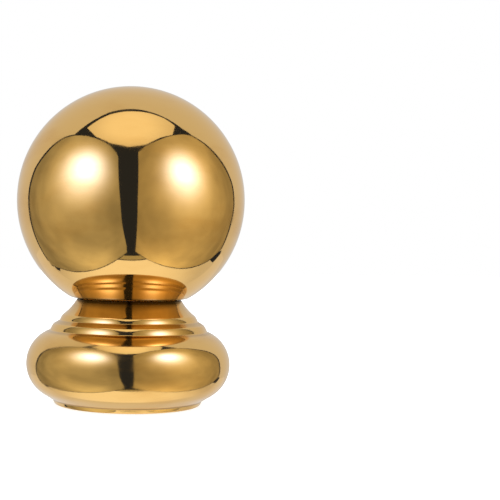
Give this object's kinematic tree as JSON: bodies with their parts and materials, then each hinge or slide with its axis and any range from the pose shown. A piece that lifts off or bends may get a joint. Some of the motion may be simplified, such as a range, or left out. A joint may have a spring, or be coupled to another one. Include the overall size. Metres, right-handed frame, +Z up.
{
  "type": "railing ball finial",
  "caption": "Polished brass ball on a hollow turned base with a flared neck, two stepped beads, a round bulge and a lip that caps a round rail post.",
  "frame": {"origin": "centre of the lip's flat underside, on the finial's axis", "axes": "+Z up the finial's axis from the lip to the ball; -Y is the side that the picture shows"},
  "size_m": [0.1, 0.1, 0.1388],
  "materials": {
    "ball_brass": "mirror polished",
    "base_brass": "mirror polished, with faint turning lines"
  },
  "bodies": {
    "root": {"ball": "ball_brass", "base": "base_brass"}
  },
  "joints": []
}
